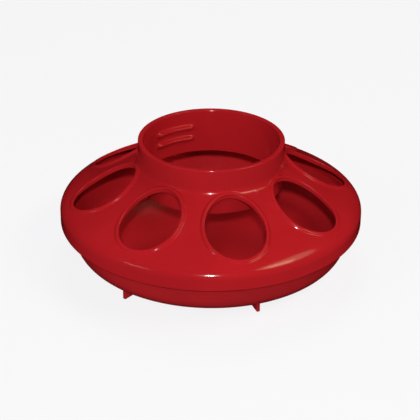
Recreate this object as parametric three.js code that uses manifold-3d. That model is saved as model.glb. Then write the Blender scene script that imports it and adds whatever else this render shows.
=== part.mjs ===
// Gravity poultry feeder: a jar-fed cover with eight feed holes over a shallow feed pan on six fin feet.
// Millimetres, +Z up. The origin is on the axis, at the height of the feet's undersides.

import * as THREE from 'three';
import { mergeVertices } from 'three/addons/utils/BufferGeometryUtils.js';
import Module from 'manifold-3d';

// ---- Driving dimensions ----

const TURN_STEPS = 72;
const SHOULDER_STEPS = 10;
const HOLE_QUARTER_STEPS = 8;
const THREAD_STEPS = 8;

// Collar that takes the jar, and the tube that carries its wall on down inside the cover
const RIM_Z = 65.9;
const BORE_R = 35.8;
const COLLAR_R = 38.4;
const COLLAR_FOOT_R = 38.8;
const COLLAR_FILLET = 4;
const TUBE_R = 38.2;
const TUBE_END_Z = 41.3;
const RIM_INNER_ROUND = 0.5;
const RIM_OUTER_ROUND = 0.6;
const EDGE_ROUND = 0.5;

// Dome, shoulder and skirt of the cover
const CONE_SLOPE = 0.59;
const CONE_REF_R = 48.5;
const CONE_REF_Z = 47.5;
const SHOULDER_START_R = 61;
const SHOULDER_CONE_PULL = 8.5;
const SHOULDER_SKIRT_PULL = 5.6;
const SHOULDER_END_Z = 27;
const COVER_R = 80;
const COVER_EDGE_Z = 20.7;
const COVER_WALL = 1.4;

// Feed holes, seen from above
const HOLE_COUNT = 8;
const FIRST_HOLE_DEG = 12.6;
const HOLE_CENTRE_R = 57;
const HOLE_HALF_LENGTH = 16.6;
const HOLE_HALF_WIDTH = 15.3;
const LIP_WIDTH = 2.4;
const LIP_HEIGHT = 1.1;

// Jar thread: opposite segments of a right-hand helix, two turns deep
const THREAD_PITCH = 6.35;
const THREAD_SWEEP_DEG = 36;
const THREAD_TOP_Z = 56.6;
const THREAD_AZIMUTHS_DEG = [-145, 35];
const THREAD_TURNS = 2;
const THREAD_DEPTH = 2.0;
const THREAD_ROOT_HEIGHT = 3.0;
const THREAD_CREST_HEIGHT = 1.5;

// Feed pan
const PAN_TOP_Z = 27.4;
const PAN_RIM_R = 78;
const PAN_RIM_END_Z = 22.6;
const PAN_RIM_INNER_END_Z = 23.1;
const PAN_RIM_ROUND = 0.7;
const PAN_WALL_TOP_R = 75.1;
const PAN_WALL_TOP_Z = 21.4;
const PAN_WALL_FOOT_R = 71.1;
const PAN_UNDERSIDE_Z = 2;
const PAN_WALL = 2.0;
const PAN_CORNER_RADIUS = 11.5;

// Fin feet
const FOOT_COUNT = 6;
const FIRST_FOOT_DEG = 20.7;
const FOOT_OUTER_R = 69.3;
const FOOT_INNER_R = 50;
const FOOT_THICKNESS = 1.8;
const FOOT_TOP_Z = 12;

// Depth by which joined solids are sunk into each other
const OVERLAP = 0.6;

const RED_PLASTIC = { color: 0xb0141c, roughness: 0.25, metalness: 0.0 };

// ---- Solids ----

const wasm = await Module();
wasm.setup();

function signedVolume(position, index) {
  const corners = [new THREE.Vector3(), new THREE.Vector3(), new THREE.Vector3()];
  let volume = 0;
  for (let i = 0; i < index.count; i += 3) {
    corners.forEach((corner, j) => corner.fromBufferAttribute(position, index.getX(i + j)));
    volume += corners[0].dot(corners[1].cross(corners[2])) / 6;
  }
  return volume;
}

// A closed geometry as a solid whose faces point outwards
function toSolid(geometry) {
  const bare = geometry.clone();
  bare.deleteAttribute('normal');
  bare.deleteAttribute('uv');
  const merged = mergeVertices(bare, 1e-4);
  const triVerts = Uint32Array.from(merged.index.array);
  if (signedVolume(merged.attributes.position, merged.index) < 0) {
    for (let i = 0; i < triVerts.length; i += 3) {
      [triVerts[i], triVerts[i + 1]] = [triVerts[i + 1], triVerts[i]];
    }
  }
  const vertProperties = Float32Array.from(merged.attributes.position.array);
  return new wasm.Manifold(new wasm.Mesh({ numProp: 3, vertProperties, triVerts }));
}

function toGeometry(solid) {
  const mesh = solid.getMesh();
  const geometry = new THREE.BufferGeometry();
  geometry.setAttribute('position', new THREE.BufferAttribute(mesh.vertProperties, 3));
  geometry.setIndex(new THREE.BufferAttribute(mesh.triVerts, 1));
  geometry.computeVertexNormals();
  return geometry;
}

// The arc that rounds the corner between two straight runs of an outline, with more steps the wider it is
function roundedCorner(before, corner, after, radius) {
  const steps = Math.round(2 * Math.sqrt(radius));
  const toBefore = before.clone().sub(corner).normalize();
  const toAfter = after.clone().sub(corner).normalize();
  const halfAngle = Math.acos(toBefore.dot(toAfter)) / 2;
  const bisector = toBefore.clone().add(toAfter).normalize();
  const centre = corner.clone().addScaledVector(bisector, radius / Math.sin(halfAngle));
  const tangent = radius / Math.tan(halfAngle);
  const start = corner.clone().addScaledVector(toBefore, tangent).sub(centre);
  const end = corner.clone().addScaledVector(toAfter, tangent).sub(centre);
  const startAngle = start.angle();
  let sweep = end.angle() - startAngle;
  if (sweep > Math.PI) {
    sweep -= 2 * Math.PI;
  } else if (sweep < -Math.PI) {
    sweep += 2 * Math.PI;
  }
  const points = [];
  for (let i = 0; i <= steps; i += 1) {
    const angle = startAngle + (sweep * i) / steps;
    points.push(new THREE.Vector2(Math.cos(angle), Math.sin(angle)).multiplyScalar(radius).add(centre));
  }
  return points;
}

// An outline in (radius, height) from corners [r, z, rounding radius]; a corner with no rounding is just [r, z]
function outline(corners, closed) {
  const at = (i) => new THREE.Vector2(...corners[(i + corners.length) % corners.length].slice(0, 2));
  const points = corners.flatMap(([, , radius], i) => (
    radius ? roundedCorner(at(i - 1), at(i), at(i + 1), radius) : [at(i)]
  ));
  return closed ? [...points, points[0].clone()] : points;
}

function turned(points) {
  return toSolid(new THREE.LatheGeometry(points, TURN_STEPS).rotateX(Math.PI / 2));
}

// Azimuth 0 is the front, -Y, and grows anticlockwise seen from above
function turnedTo(geometry, azimuthDeg) {
  return geometry.rotateZ(THREE.MathUtils.degToRad(azimuthDeg));
}

function coneZ(radius) {
  return CONE_REF_Z - CONE_SLOPE * (radius - CONE_REF_R);
}

// An upright column through the cover, of elliptical section on a feed hole's centre, grown outwards by grow
function holeColumn(azimuthDeg, grow) {
  const ellipse = new THREE.Shape();
  ellipse.absellipse(0, -HOLE_CENTRE_R, HOLE_HALF_WIDTH + grow, HOLE_HALF_LENGTH + grow, 0, 2 * Math.PI);
  const column = new THREE.ExtrudeGeometry(ellipse, {
    depth: RIM_Z,
    bevelEnabled: false,
    curveSegments: 2 * HOLE_QUARTER_STEPS,
  });
  return toSolid(turnedTo(column, azimuthDeg));
}

// Points a fixed distance to the left of a run of points
function parallel(points, distance) {
  return points.map((point, i) => {
    const ahead = points[Math.min(i + 1, points.length - 1)];
    const behind = points[Math.max(i - 1, 0)];
    const along = ahead.clone().sub(behind).normalize();
    return new THREE.Vector2(point.x - along.y * distance, point.y + along.x * distance);
  });
}

// ---- Cover ----

// The dome's outer surface from radius startR outwards: a straight cone, then the rounded shoulder
function domeLine(startR) {
  const downSlope = new THREE.Vector2(1, -CONE_SLOPE).normalize();
  const shoulderStart = new THREE.Vector2(SHOULDER_START_R, coneZ(SHOULDER_START_R));
  const shoulder = new THREE.CubicBezierCurve(
    shoulderStart,
    shoulderStart.clone().addScaledVector(downSlope, SHOULDER_CONE_PULL),
    new THREE.Vector2(COVER_R, SHOULDER_END_Z + SHOULDER_SKIRT_PULL),
    new THREE.Vector2(COVER_R, SHOULDER_END_Z),
  );
  return [new THREE.Vector2(startR, coneZ(startR)), ...shoulder.getPoints(SHOULDER_STEPS)];
}

function asCorners(points) {
  return points.map(({ x, y }) => [x, y]);
}

function coverShell() {
  const skirtBoreR = COVER_R - COVER_WALL;
  const filletClearR = COLLAR_FOOT_R + COLLAR_FILLET;
  const underDomeStartR = TUBE_R + COVER_WALL * Math.sin(Math.atan(CONE_SLOPE));
  const underDome = parallel(domeLine(underDomeStartR), -COVER_WALL).reverse();
  return turned(outline([
    [BORE_R, RIM_Z, RIM_INNER_ROUND],
    [COLLAR_R, RIM_Z, RIM_OUTER_ROUND],
    [COLLAR_FOOT_R, coneZ(COLLAR_FOOT_R), COLLAR_FILLET],
    ...asCorners(domeLine(filletClearR)),
    [COVER_R, COVER_EDGE_Z, EDGE_ROUND],
    [skirtBoreR, COVER_EDGE_Z, EDGE_ROUND],
    ...asCorners(underDome),
    [TUBE_R, TUBE_END_Z, EDGE_ROUND],
    [BORE_R, TUBE_END_Z, EDGE_ROUND],
  ], true));
}

// The band of the dome that holds the lips, raised by the lip height
function raisedDome() {
  const band = domeLine(TUBE_R + OVERLAP).filter((point) => point.x < COVER_R - OVERLAP);
  const section = [...parallel(band, LIP_HEIGHT), ...parallel(band, -OVERLAP).reverse()];
  return turned([...section, section[0].clone()]);
}

// One ridge of the thread: a straight bar of tapered section bent along its helix
function threadRidge(azimuthDeg, centreZ) {
  const section = new THREE.Shape([
    new THREE.Vector2(OVERLAP, -THREAD_ROOT_HEIGHT / 2),
    new THREE.Vector2(OVERLAP, THREAD_ROOT_HEIGHT / 2),
    new THREE.Vector2(0, THREAD_ROOT_HEIGHT / 2),
    new THREE.Vector2(-THREAD_DEPTH, THREAD_CREST_HEIGHT / 2),
    new THREE.Vector2(-THREAD_DEPTH, -THREAD_CREST_HEIGHT / 2),
    new THREE.Vector2(0, -THREAD_ROOT_HEIGHT / 2),
  ]);
  const bar = new THREE.ExtrudeGeometry(section, { depth: 1, steps: THREAD_STEPS, bevelEnabled: false });
  const position = bar.attributes.position;
  for (let i = 0; i < position.count; i += 1) {
    const turnDeg = (position.getZ(i) - 0.5) * THREAD_SWEEP_DEG;
    const angle = THREE.MathUtils.degToRad(azimuthDeg + turnDeg);
    const radius = BORE_R + position.getX(i);
    const height = centreZ + position.getY(i) + (THREAD_PITCH * turnDeg) / 360;
    position.setXYZ(i, radius * Math.sin(angle), -radius * Math.cos(angle), height);
  }
  return toSolid(bar);
}

// All the ridges lie on one helix, so those at the same azimuth stand a full pitch apart
function threadRidges() {
  return THREAD_AZIMUTHS_DEG.flatMap((azimuth) => {
    const climb = (THREAD_PITCH * (azimuth - THREAD_AZIMUTHS_DEG[0])) / 360;
    return Array.from({ length: THREAD_TURNS }, (_, turn) => (
      threadRidge(azimuth, THREAD_TOP_Z + climb - turn * THREAD_PITCH)
    ));
  });
}

function feederCover() {
  const raised = raisedDome();
  const holeAzimuths = Array.from({ length: HOLE_COUNT }, (_, i) => FIRST_HOLE_DEG + (360 * i) / HOLE_COUNT);
  let cover = coverShell();
  for (const azimuth of holeAzimuths) {
    cover = cover.add(raised.intersect(holeColumn(azimuth, LIP_WIDTH)));
  }
  for (const azimuth of holeAzimuths) {
    cover = cover.subtract(holeColumn(azimuth, 0));
  }
  for (const ridge of threadRidges()) {
    cover = cover.add(ridge);
  }
  return toGeometry(cover);
}

// ---- Feed pan ----

function panBody() {
  return turned(outline([
    [0, PAN_UNDERSIDE_Z],
    [PAN_WALL_FOOT_R, PAN_UNDERSIDE_Z, PAN_CORNER_RADIUS],
    [PAN_WALL_TOP_R, PAN_WALL_TOP_Z],
    [PAN_RIM_R, PAN_RIM_END_Z],
    [PAN_RIM_R, PAN_TOP_Z, PAN_RIM_ROUND],
    [0, PAN_TOP_Z],
  ], false));
}

// The hollow that the feed lies in, open at the top
function panHollow() {
  const floorZ = PAN_UNDERSIDE_Z + PAN_WALL;
  const aboveZ = PAN_TOP_Z + OVERLAP;
  return turned(outline([
    [0, floorZ],
    [PAN_WALL_FOOT_R - PAN_WALL, floorZ, PAN_CORNER_RADIUS - PAN_WALL],
    [PAN_WALL_TOP_R - PAN_WALL, PAN_WALL_TOP_Z],
    [PAN_RIM_R - PAN_WALL, PAN_RIM_INNER_END_Z],
    [PAN_RIM_R - PAN_WALL, aboveZ],
    [0, aboveZ],
  ], false));
}

function finFoot(azimuthDeg) {
  const length = FOOT_OUTER_R - FOOT_INNER_R;
  const fin = new THREE.BoxGeometry(FOOT_THICKNESS, length, FOOT_TOP_Z);
  fin.translate(0, -FOOT_INNER_R - length / 2, FOOT_TOP_Z / 2);
  return toSolid(turnedTo(fin, azimuthDeg));
}

function feedPan() {
  let pan = panBody();
  for (let i = 0; i < FOOT_COUNT; i += 1) {
    pan = pan.add(finFoot(FIRST_FOOT_DEG + (360 * i) / FOOT_COUNT));
  }
  return toGeometry(pan.subtract(panHollow()));
}

// ---- Assembly ----

function plasticMesh(name, geometry) {
  const mesh = new THREE.Mesh(geometry, new THREE.MeshStandardMaterial(RED_PLASTIC));
  mesh.name = name;
  return mesh;
}

const group = new THREE.Group();
group.add(plasticMesh('feeder_cover', feederCover()));
group.add(plasticMesh('feed_pan', feedPan()));

export default group;
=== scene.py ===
"""Gravity poultry feeder: the two glossy red mouldings built round the CAD frame, the studio and the camera.

The mouldings are worked out in millimetres, in the frame's own axes, and scaled to metres when a mesh is
made. The studio and the camera are in metres.
A profile is a line in (radius, height). Azimuth 0 is the front, towards -Y, and grows anticlockwise as
seen from above.
"""

import math

import bmesh
import bpy
import numpy as np
from mathutils import Matrix, Vector


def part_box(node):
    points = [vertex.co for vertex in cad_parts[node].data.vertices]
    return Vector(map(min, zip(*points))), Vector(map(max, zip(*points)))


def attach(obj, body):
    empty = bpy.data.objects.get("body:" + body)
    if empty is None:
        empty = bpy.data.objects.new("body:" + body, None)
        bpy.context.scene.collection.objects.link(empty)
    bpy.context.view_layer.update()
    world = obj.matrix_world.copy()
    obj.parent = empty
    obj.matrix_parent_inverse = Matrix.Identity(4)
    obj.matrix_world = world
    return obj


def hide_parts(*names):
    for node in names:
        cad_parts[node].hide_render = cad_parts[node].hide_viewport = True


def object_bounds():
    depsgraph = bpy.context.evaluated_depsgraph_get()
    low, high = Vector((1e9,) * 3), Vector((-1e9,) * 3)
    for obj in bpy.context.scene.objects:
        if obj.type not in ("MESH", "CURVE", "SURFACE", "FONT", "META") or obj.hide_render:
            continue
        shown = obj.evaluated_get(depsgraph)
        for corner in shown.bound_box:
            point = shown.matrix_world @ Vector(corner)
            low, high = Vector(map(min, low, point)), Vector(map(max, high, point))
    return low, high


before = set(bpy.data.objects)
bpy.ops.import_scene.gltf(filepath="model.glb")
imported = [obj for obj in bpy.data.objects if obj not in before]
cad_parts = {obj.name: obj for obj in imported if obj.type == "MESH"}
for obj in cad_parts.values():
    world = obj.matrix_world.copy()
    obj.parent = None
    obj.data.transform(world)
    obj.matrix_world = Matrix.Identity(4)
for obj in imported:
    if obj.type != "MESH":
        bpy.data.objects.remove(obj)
cad_lo, cad_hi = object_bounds()

MM = 0.001

# ---- Driving dimensions, in millimetres ----

cover_lo, cover_hi = (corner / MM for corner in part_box("feeder_cover"))
pan_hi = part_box("feed_pan")[1] / MM

# Collar, and the tube that carries its wall on down inside the cover
RIM_Z = cover_hi.z
BORE_R = 35.8
COLLAR_R = 38.4
COLLAR_FOOT_R = 38.8
COLLAR_FILLET = 4.0
TUBE_R = 38.2
TUBE_END_Z = 41.3
TUBE_FILLET = 0.8
RIM_OUTER_ROUND = 0.6
RIM_INNER_ROUND = 0.5
TUBE_END_ROUND = 0.6

# Dome, shoulder and skirt
CONE_SLOPE = 0.59
CONE_REF_R = 48.5
CONE_REF_Z = 47.5
SHOULDER_START_R = 61.0
SHOULDER_CONE_PULL = 8.5
SHOULDER_SKIRT_PULL = 5.6
SHOULDER_END_Z = 27.0
COVER_R = cover_hi.x
COVER_EDGE_Z = cover_lo.z
COVER_WALL = 1.4
EDGE_ROUND = 0.5

# Feed holes, seen from above, and their lips
HOLE_COUNT = 8
FIRST_HOLE_DEG = 12.6
HOLE_CENTRE_R = 57.0
HOLE_HALF_LENGTH = 16.6
HOLE_HALF_WIDTH = 15.3
LIP_WIDTH = 2.4
LIP_TOP_WIDTH = 1.5
LIP_HEIGHT = 1.1
LIP_INNER_ROUND = 0.5
LIP_OUTER_ROUND = 0.7
LIP_FOOT_FILLET = 0.9
LIP_FADE = 1.6  # a lip fades out where the collar's fillet rises to this many lip heights
HOLE_UNDER_ROUND = 0.4

# Jar thread
THREAD_PITCH = 6.35
THREAD_SWEEP_DEG = 36.0
THREAD_TOP_Z = 56.6
THREAD_AZIMUTHS_DEG = (-145.0, 35.0)
THREAD_TURNS = 2
THREAD_DEPTH = 2.0
THREAD_ROOT_HEIGHT = 3.6
THREAD_CREST_HEIGHT = 0.8
THREAD_END_RAMP_DEG = 2.4

# Feed pan
PAN_TOP_Z = pan_hi.z
PAN_RIM_R = pan_hi.x
PAN_RIM_END_Z = 22.6
PAN_RIM_INNER_END_Z = 23.1
PAN_WALL_TOP_R = 75.1
PAN_WALL_TOP_Z = 21.4
PAN_WALL_FOOT_R = 71.1
PAN_UNDERSIDE_Z = 2.0
PAN_WALL = 2.0
PAN_CORNER_RADIUS = 11.5
PAN_RIM_ROUND = 0.7
PAN_RIM_END_ROUND = 0.5
PAN_STEP_ROUND = 0.6

# Fin feet
FOOT_COUNT = 6
FIRST_FOOT_DEG = 20.7
FOOT_OUTER_R = 69.3
FOOT_INNER_R = 50.0
FOOT_THICKNESS = 1.8
FOOT_EDGE_ROUND = 0.35

# Mesh fineness: steps round and along one hole's sector, rows and points of a shape, and segments
ARC_STEPS = 24
SIDE_STEPS = 28
DOME_ROWS = 12
HOLE_WALL_ROWS = 4
FLANK_ROWS = 6
ARC_POINTS = 6
SHOULDER_POINTS = 40
FOOT_TOP_STEPS = 14
FOOT_EDGE_SEGMENTS = 3
FLOOR_SEGMENTS = 96

# Longest step between rows of points, in millimetres
COLLAR_ROW_STEP = 1.5
EDGE_ROW_STEP = 1.2
BORE_ROW_STEP = 1.2
PAN_ROW_STEP = 3.0

# Tolerances and limits of the mesh making
SAME_POINT = 1e-6
NEVER_ZERO = 1e-12
ROW_MARGIN = 0.05
NORMAL_REACH = 0.15
LARGE_ROUNDING = 3.0  # from here up, an arc gets twice the points
EDGE_FIT_ROUNDS = 6
MERGE_DISTANCE = 2e-3
SLIVER = 0.02
SHARP_ANGLE_DEG = 50

# Straight stub that carries a line on beyond the rounding at its end
STUB = 2.0

SECTOR = 2 * math.pi / HOLE_COUNT
FIRST_HOLE = math.radians(FIRST_HOLE_DEG)


# ---- Profiles ----


class Profile:
    """A line in (radius, height), read by the length along it. Its normals point out of the plastic."""

    def __init__(self, points):
        self.points = np.array(points, float)
        steps = np.linalg.norm(np.diff(self.points, axis=0), axis=1)
        self.points = self.points[np.concatenate([[True], steps > SAME_POINT])]
        steps = steps[steps > SAME_POINT]
        self.lengths = np.concatenate([[0.0], np.cumsum(steps)])
        self.end = self.lengths[-1]

    def at(self, length):
        """(radius, height) at that length."""
        radius = np.interp(length, self.lengths, self.points[:, 0])
        height = np.interp(length, self.lengths, self.points[:, 1])
        return radius, height

    def normal(self, length):
        """Unit normal at that length, from the points a short reach to either side."""
        r0, z0 = self.at(np.asarray(length) - NORMAL_REACH)
        r1, z1 = self.at(np.asarray(length) + NORMAL_REACH)
        size = np.hypot(r1 - r0, z1 - z0)
        return -(z1 - z0) / size, (r1 - r0) / size

    def length_at_radius(self, radius):
        """For a line on which the radius only grows, or only shrinks."""
        order = np.argsort(self.points[:, 0], kind="stable")
        return np.interp(radius, self.points[order, 0], self.lengths[order])

    def length_at_height(self, height, near):
        """The length at which the line passes that height, closest to the length near."""
        above = self.points[:, 1] - height
        crossings = np.nonzero(above[:-1] * above[1:] <= 0)[0]
        share = above[crossings] / (above[crossings] - above[crossings + 1] + NEVER_ZERO)
        lengths = self.lengths[crossings] + share * (self.lengths[crossings + 1] - self.lengths[crossings])
        return lengths[np.argmin(np.abs(lengths - near))]


def rounded_line(corners):
    """Points of a line through corners (radius, height, rounding), with an arc at each rounded corner."""
    points = []
    for i, (r, z, rounding) in enumerate(corners):
        corner = np.array([r, z])
        if not rounding:
            points.append(corner)
            continue
        to_before = np.array(corners[i - 1][:2]) - corner
        to_after = np.array(corners[i + 1][:2]) - corner
        to_before /= np.linalg.norm(to_before)
        to_after /= np.linalg.norm(to_after)
        half_angle = math.acos(np.clip(to_before @ to_after, -1, 1)) / 2
        bisector = (to_before + to_after) / np.linalg.norm(to_before + to_after)
        centre = corner + bisector * rounding / math.sin(half_angle)
        start = corner + to_before * rounding / math.tan(half_angle) - centre
        end = corner + to_after * rounding / math.tan(half_angle) - centre
        turn = math.atan2(start[0] * end[1] - start[1] * end[0], start @ end)
        steps = ARC_POINTS if rounding < LARGE_ROUNDING else 2 * ARC_POINTS
        for angle in np.linspace(0, turn, steps + 1):
            c, s = math.cos(angle), math.sin(angle)
            points.append(centre + np.array([c * start[0] - s * start[1], s * start[0] + c * start[1]]))
    return points


def cone_z(radius):
    """Height of the dome's cone."""
    return CONE_REF_Z - CONE_SLOPE * (radius - CONE_REF_R)


def shoulder_points():
    """The shoulder's curve, from the cone round to the top of the skirt."""
    fall = np.array([1.0, -CONE_SLOPE]) / math.hypot(1.0, CONE_SLOPE)
    start = np.array([SHOULDER_START_R, cone_z(SHOULDER_START_R)])
    end = np.array([COVER_R, SHOULDER_END_Z])
    pulls = [start, start + fall * SHOULDER_CONE_PULL, end + np.array([0, SHOULDER_SKIRT_PULL]), end]
    t = np.linspace(0, 1, SHOULDER_POINTS + 1)[:, None]
    weights = [(1 - t) ** 3, 3 * t * (1 - t) ** 2, 3 * t**2 * (1 - t), t**3]
    return sum(w * p for w, p in zip(weights, pulls))


def plain(points):
    """The points as corners without a rounding."""
    return [(r, z, 0) for r, z in points]


def cover_outside():
    """From the top of the bore over the rim, down the collar, the dome and the skirt to the cover's edge."""
    return Profile(
        rounded_line(
            [
                (BORE_R, RIM_Z - STUB, 0),
                (BORE_R, RIM_Z, RIM_INNER_ROUND),
                (COLLAR_R, RIM_Z, RIM_OUTER_ROUND),
                (COLLAR_FOOT_R, cone_z(COLLAR_FOOT_R), COLLAR_FILLET),
                *plain(shoulder_points()),
                (COVER_R, COVER_EDGE_Z, EDGE_ROUND),
                (COVER_R - COVER_WALL / 2, COVER_EDGE_Z, 0),
            ]
        )
    )


def cover_inside():
    """From the cover's edge up inside the skirt, under the dome and down the tube to the foot of the bore."""
    shoulder = Profile(shoulder_points())
    lengths = np.linspace(0, shoulder.end, SHOULDER_POINTS + 1)
    radius, height = shoulder.at(lengths)
    normal_r, normal_z = shoulder.normal(lengths)
    under = np.stack([radius - COVER_WALL * normal_r, height - COVER_WALL * normal_z], axis=1)
    drop = COVER_WALL * math.hypot(1.0, CONE_SLOPE)
    return Profile(
        rounded_line(
            [
                (COVER_R - COVER_WALL / 2, COVER_EDGE_Z, 0),
                (COVER_R - COVER_WALL, COVER_EDGE_Z, EDGE_ROUND),
                (COVER_R - COVER_WALL, SHOULDER_END_Z, 0),
                *plain(under[-2:0:-1]),
                (TUBE_R, cone_z(TUBE_R) - drop, TUBE_FILLET),
                (TUBE_R, TUBE_END_Z, TUBE_END_ROUND),
                (BORE_R, TUBE_END_Z, TUBE_END_ROUND),
                (BORE_R, TUBE_END_Z + STUB, 0),
            ]
        )
    )


# ---- Meshes ----


def on_circle(azimuth, radius, height):
    """Points in the frame, in millimetres, from azimuths, radii and heights of one shape."""
    azimuth, radius, height = np.broadcast_arrays(azimuth, radius, height)
    return np.stack([radius * np.sin(azimuth), -radius * np.cos(azimuth), height], axis=-1)


def turn_azimuths():
    """The azimuths of every mesh column round the whole part, closed."""
    return FIRST_HOLE - SECTOR / 2 + np.linspace(0, 2 * math.pi, HOLE_COUNT * ARC_STEPS + 1)


def turned_grid(profile, lengths):
    """The profile turned all the way round, with a row of points at each length."""
    radius, height = profile.at(np.asarray(lengths)[:, None])
    return on_circle(turn_azimuths()[None, :], radius, height)


def spaced(start, end, step):
    """Even values from start to end, no further apart than step."""
    return np.linspace(start, end, max(2, math.ceil(abs(end - start) / step) + 1))


def profile_rows(profile, start, end, step):
    """Lengths along a profile: its own points between start and end, with long gaps filled."""
    inside = (profile.lengths > start + ROW_MARGIN) & (profile.lengths < end - ROW_MARGIN)
    rows = [start]
    for length in [*profile.lengths[inside], end]:
        rows.extend(spaced(rows[-1], length, step)[1:])
    return np.array(rows)


def mesh_object(name, grids):
    """One smooth, closed mesh from grids of points whose shared borders coincide."""
    mesh = bmesh.new()
    for grid in grids:
        rows = [[mesh.verts.new(point) for point in row] for row in grid]
        for low, high in zip(rows, rows[1:]):
            for i in range(len(low) - 1):
                mesh.faces.new((low[i], low[i + 1], high[i + 1], high[i]))
    bmesh.ops.remove_doubles(mesh, verts=mesh.verts, dist=MERGE_DISTANCE)
    bmesh.ops.dissolve_degenerate(mesh, edges=mesh.edges, dist=MERGE_DISTANCE)
    bmesh.ops.recalc_face_normals(mesh, faces=mesh.faces)
    bmesh.ops.scale(mesh, vec=(MM, MM, MM), verts=mesh.verts)
    for face in mesh.faces:
        face.smooth = True
    data = bpy.data.meshes.new(name)
    mesh.to_mesh(data)
    mesh.free()
    made = bpy.data.objects.new(name, data)
    bpy.context.scene.collection.objects.link(made)
    return made


# ---- Feeder cover ----


def under_section():
    """The rounding under the hole's edge: (distance from the edge, height out of the plastic)."""
    angles = np.radians(np.linspace(180, 90, ARC_POINTS))
    return [(HOLE_UNDER_ROUND * (1 + math.cos(a)), HOLE_UNDER_ROUND * (math.sin(a) - 1)) for a in angles]


def lip_section():
    """The lip from the hole's edge outwards: (distance from the edge, height over the dome)."""
    corners = [
        (0, -STUB, 0),
        (0, LIP_HEIGHT, LIP_INNER_ROUND),
        (LIP_TOP_WIDTH, LIP_HEIGHT, LIP_OUTER_ROUND),
        (LIP_WIDTH, 0, LIP_FOOT_FILLET),
        (LIP_WIDTH + STUB, 0, 0),
    ]
    return rounded_line(corners)[1:-1]


def sector_border(length_in, length_out):
    """The closed border of one hole's sector: azimuths from the hole's middle, lengths along the profile."""
    half = SECTOR / 2
    arc = np.linspace(-half, half, ARC_STEPS + 1)
    side = np.linspace(length_out, length_in, SIDE_STEPS + 1)
    azimuth = np.concatenate(
        [arc[:-1], np.full(SIDE_STEPS, half), arc[:0:-1], np.full(SIDE_STEPS + 1, -half)]
    )
    length = np.concatenate(
        [np.full(ARC_STEPS, length_out), side[:-1], np.full(ARC_STEPS, length_in), side[::-1]]
    )
    return azimuth, length


def edge_angles(profile, border):
    """For each border point, the angle round the hole's ellipse at which its mesh column meets the edge."""
    azimuth, length = border
    middle = profile.length_at_radius(HOLE_CENTRE_R)
    half_length = HOLE_HALF_LENGTH * math.hypot(1.0, CONE_SLOPE)
    along = np.sign(profile.at(middle + 1)[0] - profile.at(middle)[0])
    return np.arctan2(azimuth * HOLE_CENTRE_R / HOLE_HALF_WIDTH, along * (length - middle) / half_length)


def hole_edge(angles):
    """(azimuth from the hole's middle, radius) of the hole's edge, which is an ellipse seen from above."""
    outwards = HOLE_CENTRE_R + HOLE_HALF_LENGTH * np.cos(angles)
    sideways = HOLE_HALF_WIDTH * np.sin(angles)
    return np.arctan2(sideways, outwards), np.hypot(sideways, outwards)


def edge_on_profile(profile, radius, height):
    """Length along the profile at which a point raised by height stands straight over the hole's edge."""
    length = profile.length_at_radius(radius)
    for _ in range(EDGE_FIT_ROUNDS):
        length = profile.length_at_radius(radius - height * profile.normal(length)[0])
    return length


def outwards_from_edge(profile, azimuth, length):
    """Unit directions out of the hole, on the surface: (along the azimuth, along the profile)."""
    radius = profile.at(length)[0]
    along_azimuth = (np.roll(azimuth[:-1], -1) - np.roll(azimuth[:-1], 1)) * radius[:-1]
    along_profile = np.roll(length[:-1], -1) - np.roll(length[:-1], 1)
    size = np.hypot(along_azimuth, along_profile)
    out_azimuth, out_length = along_profile / size, -along_azimuth / size
    from_middle = length[:-1] - length[:-1].mean()
    flip = np.sign(np.sum(out_azimuth * azimuth[:-1] * radius[:-1] + out_length * from_middle))
    out_azimuth, out_length = out_azimuth * flip, out_length * flip
    return np.append(out_azimuth, out_azimuth[0]), np.append(out_length, out_length[0])


def fillet_rise(profile, length):
    """How far the collar's fillet stands over the bare cone."""
    radius, height = profile.at(length)
    return np.maximum(0, (height - cone_z(radius)) / math.hypot(1.0, CONE_SLOPE))


def smooth_step(x):
    """Rises from 0 to 1, level at both ends."""
    x = np.clip(x, 0, 1)
    return x * x * (3 - 2 * x)


def raised(profile, azimuth, length, height):
    """Points on the surface, raised along its normal."""
    radius, z = profile.at(length)
    normal_r, normal_z = profile.normal(length)
    return on_circle(azimuth, radius + height * normal_r, z + height * normal_z)


def hole_patch(profile, border, angles, section, hole_azimuth):
    """Rows of points from a hole's edge out to its sector's border, over the section of its lip."""
    azimuth, radius = hole_edge(angles)
    length = edge_on_profile(profile, radius, section[0][1])
    out_azimuth, out_length = outwards_from_edge(profile, azimuth, length)
    rows = []
    for distance, height in section:
        row_azimuth = azimuth + distance * out_azimuth / radius
        row_length = length + distance * out_length
        kept = 1 - smooth_step(fillet_rise(profile, row_length) / (LIP_FADE * LIP_HEIGHT))
        rows.append(raised(profile, hole_azimuth + row_azimuth, row_length, height * kept))
    for share in np.linspace(0, 1, DOME_ROWS + 1)[1:]:
        far_azimuth = row_azimuth + (border[0] - row_azimuth) * share
        far_length = row_length + (border[1] - row_length) * share
        rows.append(raised(profile, hole_azimuth + far_azimuth, far_length, 0))
    return np.array(rows)


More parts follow.
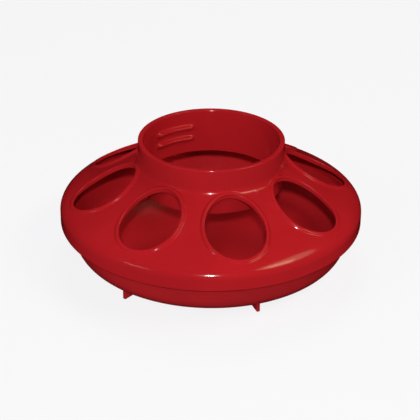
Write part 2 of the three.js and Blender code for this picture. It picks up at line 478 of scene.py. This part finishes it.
def thread_climb(azimuth):
    """At each azimuth, how far the thread has climbed, and how much of a ridge is there, from 0 to 1."""
    starts = np.radians(THREAD_AZIMUTHS_DEG)
    climbs = THREAD_PITCH * (starts - starts[0]) / (2 * math.pi)
    turn = np.array([(azimuth - start + math.pi) % (2 * math.pi) - math.pi for start in starts])
    nearest = np.argmin(np.abs(turn), axis=0)
    spacing = 2 * math.pi / len(starts)
    half_sweep = math.radians(THREAD_SWEEP_DEG) / 2
    lift = np.zeros_like(azimuth)
    present = np.zeros_like(azimuth)
    ramp = math.radians(THREAD_END_RAMP_DEG)
    for i in range(len(starts)):
        mine = nearest == i
        own = climbs[i] + THREAD_PITCH * np.clip(turn[i], -half_sweep, half_sweep) / (2 * math.pi)
        beyond = np.where(turn[i] > 0, (i + 1) % len(starts), (i - 1) % len(starts))
        side = np.sign(turn[i]) * half_sweep
        other = climbs[beyond] - THREAD_PITCH * side / (2 * math.pi)
        share = (np.abs(turn[i]) - half_sweep) / (spacing - 2 * half_sweep)
        blended = own + (other - own) * smooth_step(share)
        lift[mine] = np.where(share > 0, blended, own)[mine]
        present[mine] = smooth_step((half_sweep + ramp / 2 - np.abs(turn[i])) / ramp)[mine]
    return lift, present


def thread_grid(start_z, end_z):
    """The bore's wall between two heights, with the thread ridges standing in from it."""
    azimuth = turn_azimuths()
    lift, present = thread_climb(azimuth)
    centres = [THREAD_TOP_Z - i * THREAD_PITCH for i in range(THREAD_TURNS)]
    half_root, half_crest = THREAD_ROOT_HEIGHT / 2, THREAD_CREST_HEIGHT / 2
    flank = np.linspace(half_crest, half_root, FLANK_ROWS)
    bases = np.unique(
        np.concatenate(
            [
                [start_z, end_z],
                *[[c + sign * f for sign in (-1, 1) for f in flank] for c in centres],
                centres,
                spaced(start_z, centres[-1] - half_root, BORE_ROW_STEP),
                spaced(centres[-1] + half_root, centres[0] - half_root, BORE_ROW_STEP),
                spaced(centres[0] + half_root, end_z, BORE_ROW_STEP),
            ]
        ).round(4)
    )
    rows = []
    for base in bases:
        free_above = (end_z - base) / (end_z - centres[0] - half_root)
        free_below = (base - start_z) / (centres[-1] - half_root - start_z)
        off = min(abs(base - c) for c in centres)
        crest = smooth_step((half_root - off) / (half_root - half_crest))
        height = base + lift * np.clip(min(free_above, free_below), 0, 1)
        rows.append(on_circle(azimuth, BORE_R - THREAD_DEPTH * crest * present, height))
    return np.array(rows)


def feeder_cover():
    """The cover: collar, skirt, tube and bore as turned grids, and the dome as one patch for each hole."""
    outside, inside = cover_outside(), cover_inside()
    collar_end = outside.length_at_height(cone_z(COLLAR_FOOT_R) + COLLAR_FILLET, near=0)
    skirt_start = outside.length_at_height(SHOULDER_END_Z, near=outside.end)
    inner_skirt_end = inside.length_at_height(SHOULDER_END_Z, near=0)
    tube_bend = inside.length_at_height(cone_z(TUBE_R) - 2 * COVER_WALL, near=inside.end)

    outer_border = sector_border(collar_end, skirt_start)
    inner_border = sector_border(tube_bend, inner_skirt_end)
    angles = edge_angles(outside, outer_border)
    lip = lip_section()
    under = under_section()

    grids = [
        turned_grid(outside, profile_rows(outside, 0, collar_end, COLLAR_ROW_STEP)),
        turned_grid(outside, profile_rows(outside, skirt_start, outside.end, EDGE_ROW_STEP)),
        turned_grid(inside, profile_rows(inside, 0, inner_skirt_end, EDGE_ROW_STEP)),
        turned_grid(inside, profile_rows(inside, tube_bend, inside.end, COLLAR_ROW_STEP)),
        thread_grid(inside.points[-1][1], outside.points[0][1]),
    ]
    for i in range(HOLE_COUNT):
        hole_azimuth = FIRST_HOLE + i * SECTOR
        top = hole_patch(outside, outer_border, angles, lip, hole_azimuth)
        bottom = hole_patch(inside, inner_border, angles, under, hole_azimuth)
        share = np.linspace(0, 1, HOLE_WALL_ROWS)[:, None, None]
        wall = bottom[0] + (top[0] - bottom[0]) * share
        grids.extend([top, bottom, wall])
    return mesh_object("feeder_cover_moulding", grids)


# ---- Feed pan ----


def pan_section():
    """From the middle of the underside out, up the outside, over the rim and in across the floor."""
    floor_z = PAN_UNDERSIDE_Z + PAN_WALL
    return Profile(
        rounded_line(
            [
                (0, PAN_UNDERSIDE_Z, 0),
                (PAN_WALL_FOOT_R, PAN_UNDERSIDE_Z, PAN_CORNER_RADIUS),
                (PAN_WALL_TOP_R, PAN_WALL_TOP_Z, PAN_STEP_ROUND),
                (PAN_RIM_R, PAN_RIM_END_Z, PAN_RIM_END_ROUND),
                (PAN_RIM_R, PAN_TOP_Z, PAN_RIM_ROUND),
                (PAN_RIM_R - PAN_WALL, PAN_TOP_Z, PAN_RIM_ROUND),
                (PAN_RIM_R - PAN_WALL, PAN_RIM_INNER_END_Z, PAN_STEP_ROUND),
                (PAN_WALL_TOP_R - PAN_WALL, PAN_WALL_TOP_Z, PAN_STEP_ROUND),
                (PAN_WALL_FOOT_R - PAN_WALL, floor_z, PAN_CORNER_RADIUS - PAN_WALL),
                (0, floor_z, 0),
            ]
        )
    )


def fin_outline():
    """A fin seen from the side, as (radius, height): flat below, its top in the middle of the pan's wall."""
    underside = Profile(
        rounded_line(
            [
                (0, PAN_UNDERSIDE_Z, 0),
                (PAN_WALL_FOOT_R, PAN_UNDERSIDE_Z, PAN_CORNER_RADIUS),
                (PAN_WALL_TOP_R, PAN_WALL_TOP_Z, 0),
            ]
        )
    )
    radius = np.linspace(FOOT_OUTER_R, FOOT_INNER_R, FOOT_TOP_STEPS)
    height = underside.at(underside.length_at_radius(radius))[1] + PAN_WALL / 2
    return [(FOOT_INNER_R, 0.0), (FOOT_OUTER_R, 0.0), *zip(radius, height)]


def fin_foot(azimuth_deg):
    """A thin radial fin with softened edges, its top sunk into the pan's wall."""
    mesh = bmesh.new()
    side = mesh.faces.new([mesh.verts.new((-FOOT_THICKNESS / 2, -r, z)) for r, z in fin_outline()])
    other = bmesh.ops.extrude_face_region(mesh, geom=[side])["geom"]
    moved = [part for part in other if isinstance(part, bmesh.types.BMVert)]
    bmesh.ops.translate(mesh, vec=(FOOT_THICKNESS, 0, 0), verts=moved)
    bmesh.ops.recalc_face_normals(mesh, faces=mesh.faces)
    free_edges = [edge for edge in mesh.edges if min(vert.co.z for vert in edge.verts) < FOOT_EDGE_ROUND]
    bmesh.ops.bevel(
        mesh,
        geom=free_edges,
        offset=FOOT_EDGE_ROUND,
        segments=FOOT_EDGE_SEGMENTS,
        profile=0.5,
        affect="EDGES",
    )
    turn = Matrix.Rotation(math.radians(azimuth_deg), 4, "Z")
    mesh.transform(Matrix.Scale(MM, 4) @ turn)
    data = bpy.data.meshes.new("fin_foot")
    mesh.to_mesh(data)
    mesh.free()
    fin = bpy.data.objects.new("fin_foot", data)
    bpy.context.scene.collection.objects.link(fin)
    return fin


def apply_modifiers(obj):
    """Bakes an object's modifiers into its own mesh, and merges the slivers they leave."""
    evaluated = obj.evaluated_get(bpy.context.evaluated_depsgraph_get())
    data = bpy.data.meshes.new_from_object(evaluated)
    mesh = bmesh.new()
    mesh.from_mesh(data)
    bmesh.ops.dissolve_degenerate(mesh, edges=mesh.edges, dist=SLIVER * MM)
    mesh.to_mesh(data)
    mesh.free()
    obj.modifiers.clear()
    obj.data = data


def feed_pan():
    """The dish, with the fins joined to it in one moulding."""
    section = pan_section()
    rows = profile_rows(section, 0, section.end, PAN_ROW_STEP)
    pan = mesh_object("feed_pan_moulding", [turned_grid(section, rows)])
    fins = [fin_foot(FIRST_FOOT_DEG + 360 * i / FOOT_COUNT) for i in range(FOOT_COUNT)]
    for fin in fins:
        union = pan.modifiers.new("join_fin", "BOOLEAN")
        union.operation = "UNION"
        union.solver = "EXACT"
        union.object = fin
    bpy.context.view_layer.update()
    apply_modifiers(pan)
    for fin in fins:
        bpy.data.objects.remove(fin)
    pan.data.shade_smooth()
    pan.data.set_sharp_from_angle(angle=math.radians(SHARP_ANGLE_DEG))
    return pan


# ---- Finish ----

PLASTIC_IOR = 1.49
PLASTIC_SPECULAR = 0.4
RED_DARK = (0.40, 0.0104, 0.0146, 1)
RED_LIGHT = (0.46, 0.0124, 0.0174, 1)
# Painted highlight: the lighter red laid on the sharp convex edges, such as the lips and the rim
RED_EDGE_HIGHLIGHT = (0.52, 0.018, 0.021, 1)
EDGE_HIGHLIGHT_SHARE = 0.35
EDGE_POINTINESS = (0.52, 0.62)
FLOW_SCALE = 22
FLOW_SPREAD = (0.3, 0.7)
SCUFF_SCALE = 140
SCUFF_SPREAD = (0.3, 0.75)
RIPPLE_SCALE = 60
RIPPLE_STRENGTH = 0.12
RIPPLE_HEIGHT = 0.3 * MM


def noise(tree, place, scale, detail, distortion=0.0):
    """A noise texture fixed to the piece."""
    texture = tree.nodes.new("ShaderNodeTexNoise")
    texture.inputs["Scale"].default_value = scale
    texture.inputs["Detail"].default_value = detail
    texture.inputs["Distortion"].default_value = distortion
    tree.links.new(place.outputs["Object"], texture.inputs["Vector"])
    return texture


def map_range(tree, source, start, end=(0.0, 1.0)):
    """Maps a value from the start range to the end range."""
    mapped = tree.nodes.new("ShaderNodeMapRange")
    mapped.inputs["From Min"].default_value = start[0]
    mapped.inputs["From Max"].default_value = start[1]
    mapped.inputs["To Min"].default_value = end[0]
    mapped.inputs["To Max"].default_value = end[1]
    tree.links.new(source, mapped.inputs["Value"])
    return mapped


def red_plastic(name, smoothest, roughest):
    """Injection-moulded plastic: deep red with a faint flow, a soft ripple and a painted highlight, a lighter
    red on its convex edges.
    """
    material = bpy.data.materials.new(name)
    material.use_nodes = True
    tree = material.node_tree
    nodes, links = tree.nodes, tree.links
    shader = nodes["Principled BSDF"]
    shader.inputs["IOR"].default_value = PLASTIC_IOR
    shader.inputs["Specular IOR Level"].default_value = PLASTIC_SPECULAR
    place = nodes.new("ShaderNodeTexCoord")

    flow = noise(tree, place, FLOW_SCALE, detail=3, distortion=0.6)
    colour = nodes.new("ShaderNodeValToRGB")
    for stop, position, shade in zip(colour.color_ramp.elements, FLOW_SPREAD, (RED_DARK, RED_LIGHT)):
        stop.position = position
        stop.color = shade
    links.new(flow.outputs["Fac"], colour.inputs["Fac"])

    # Painted highlight: the sharper a convex edge, the more of the lighter red is mixed in
    shape = nodes.new("ShaderNodeNewGeometry")
    edge = map_range(tree, shape.outputs["Pointiness"], EDGE_POINTINESS)
    highlight_amount = nodes.new("ShaderNodeMath")
    highlight_amount.operation = "MULTIPLY"
    highlight_amount.inputs[1].default_value = EDGE_HIGHLIGHT_SHARE
    edge_highlight_mix = nodes.new("ShaderNodeMix")
    edge_highlight_mix.data_type = "RGBA"
    edge_highlight_mix.inputs["B"].default_value = RED_EDGE_HIGHLIGHT
    links.new(edge.outputs["Result"], highlight_amount.inputs[0])
    links.new(highlight_amount.outputs["Value"], edge_highlight_mix.inputs["Factor"])
    links.new(colour.outputs["Color"], edge_highlight_mix.inputs["A"])
    links.new(edge_highlight_mix.outputs["Result"], shader.inputs["Base Color"])

    scuff = noise(tree, place, SCUFF_SCALE, detail=5)
    roughness = map_range(tree, scuff.outputs["Fac"], SCUFF_SPREAD, (smoothest, roughest))
    links.new(roughness.outputs["Result"], shader.inputs["Roughness"])

    ripple = noise(tree, place, RIPPLE_SCALE, detail=2)
    bump = nodes.new("ShaderNodeBump")
    bump.inputs["Strength"].default_value = RIPPLE_STRENGTH
    bump.inputs["Distance"].default_value = RIPPLE_HEIGHT
    links.new(ripple.outputs["Fac"], bump.inputs["Height"])
    links.new(bump.outputs["Normal"], shader.inputs["Normal"])
    return material


cover = feeder_cover()
cover.data.materials.append(red_plastic("cover_red_plastic", smoothest=0.08, roughest=0.15))
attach(cover, "cover")
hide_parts("feeder_cover")

pan = feed_pan()
pan.data.materials.append(red_plastic("pan_red_plastic", smoothest=0.18, roughest=0.26))
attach(pan, "pan")
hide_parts("feed_pan")


# ---- Studio, in metres and watts ----

FLOOR_RADIUS = 12.0
FLOOR_COLOUR = (0.15, 0.15, 0.15)
FLOOR_GLOW_COLOUR = (0.985, 0.985, 1.0)
FLOOR_GLOW = 0.82
FLOOR_ROUGHNESS = 0.9
HORIZON_BLEND = 0.15
WHITE = (1.0, 1.0, 1.0)
WARM = (1.0, 0.78, 0.52)


def pale_floor():
    """A wide, pale, mostly self-lit disc, which the part neither reflects nor is lit by."""
    mesh = bmesh.new()
    bmesh.ops.create_circle(mesh, cap_ends=True, segments=FLOOR_SEGMENTS, radius=FLOOR_RADIUS)
    data = bpy.data.meshes.new("floor")
    mesh.to_mesh(data)
    mesh.free()
    floor = bpy.data.objects.new("floor", data)
    bpy.context.scene.collection.objects.link(floor)
    material = bpy.data.materials.new("pale_floor")
    material.use_nodes = True
    shader = material.node_tree.nodes["Principled BSDF"]
    shader.inputs["Base Color"].default_value = (*FLOOR_COLOUR, 1)
    shader.inputs["Roughness"].default_value = FLOOR_ROUGHNESS
    shader.inputs["Specular IOR Level"].default_value = 0.0
    shader.inputs["Emission Color"].default_value = (*FLOOR_GLOW_COLOUR, 1)
    shader.inputs["Emission Strength"].default_value = FLOOR_GLOW
    data.materials.append(material)
    floor.visible_glossy = False
    floor.visible_diffuse = False


def soft_light(name, at_deg, distance, size, power, colour=WHITE, glossy=True):
    """An oval studio light at (azimuth, elevation), aimed at the middle of the part."""
    azimuth, elevation = (math.radians(angle) for angle in at_deg)
    data = bpy.data.lights.new(name, "AREA")
    data.shape = "ELLIPSE"
    data.size, data.size_y = size
    data.energy = power
    data.color = colour
    light = bpy.data.objects.new(name, data)
    bpy.context.scene.collection.objects.link(light)
    level = math.cos(elevation)
    direction = Vector((math.sin(azimuth) * level, -math.cos(azimuth) * level, math.sin(elevation)))
    light.location = (cad_lo + cad_hi) / 2 + direction * distance
    light.rotation_euler = direction.to_track_quat("Z", "Y").to_euler()
    light.visible_glossy = glossy


def ambient(above, below):
    """Even light from all round the sky, and light from below as a white table would send it back."""
    world = bpy.data.worlds.new("studio")
    world.use_nodes = True
    tree = world.node_tree
    direction = tree.nodes.new("ShaderNodeTexCoord")
    parts = tree.nodes.new("ShaderNodeSeparateXYZ")
    tree.links.new(direction.outputs["Generated"], parts.inputs["Vector"])
    strength = map_range(tree, parts.outputs["Z"], (-HORIZON_BLEND, HORIZON_BLEND), (below, above))
    background = tree.nodes["Background"]
    background.inputs["Color"].default_value = (*WHITE, 1)
    tree.links.new(strength.outputs["Result"], background.inputs["Strength"])
    bpy.context.scene.world = world
    world.cycles_visibility.glossy = False


pale_floor()
soft_light("key", at_deg=(0, 31), distance=1.4, size=(0.06, 0.06), power=11.6)
soft_light("left_box", at_deg=(-55, 25), distance=1.3, size=(0.45, 0.12), power=0.45)
soft_light("right_box", at_deg=(65, 49), distance=1.3, size=(0.5, 0.24), power=1.5, colour=WARM)
soft_light("right_glow", at_deg=(72, 49), distance=1.3, size=(1.0, 0.44), power=2.4, colour=WARM)
soft_light("left_fill", at_deg=(-60, 28), distance=1.4, size=(0.7, 0.7), power=3.2, glossy=False)
soft_light("right_fill", at_deg=(90, 45), distance=1.4, size=(0.7, 0.7), power=2.4, glossy=False)
soft_light("back_fill", at_deg=(180, 50), distance=1.4, size=(0.7, 0.7), power=4.0, glossy=False)
ambient(above=0.10, below=0.45)

scene = bpy.context.scene
scene.view_settings.view_transform = "Standard"


# ---- Camera, in metres ----

CAMERA_DISTANCE = 0.8243
CAMERA_ELEVATION_DEG = 27.5
CAMERA_TARGET_Z = 0.032
CAMERA_LENS_MM = 132.8
CAMERA_SENSOR_MM = 36
CAMERA_CLIP = (0.05, 20)
AIM_DOWN_DEG = 0.521
AIM_LEFT_DEG = 0.028
CAMERA_ROLL_DEG = 0.5


def studio_camera():
    """The camera in front of the part, turned down, left and over by small angles to frame it."""
    elevation = math.radians(CAMERA_ELEVATION_DEG)
    data = bpy.data.cameras.new("camera")
    data.lens = CAMERA_LENS_MM
    data.sensor_width = CAMERA_SENSOR_MM
    data.clip_start, data.clip_end = CAMERA_CLIP
    camera = bpy.data.objects.new("camera", data)
    scene.collection.objects.link(camera)
    back = Vector((0, -math.cos(elevation), math.sin(elevation)))
    place = Matrix.Translation(Vector((0, 0, CAMERA_TARGET_Z)) + back * CAMERA_DISTANCE)
    level = Matrix.Rotation(math.pi / 2 - elevation, 4, "X")
    left = Matrix.Rotation(math.radians(AIM_LEFT_DEG), 4, "Y")
    down = Matrix.Rotation(-math.radians(AIM_DOWN_DEG), 4, "X")
    roll = Matrix.Rotation(math.radians(CAMERA_ROLL_DEG), 4, "Z")
    camera.matrix_world = place @ level @ left @ down @ roll
    scene.camera = camera


studio_camera()
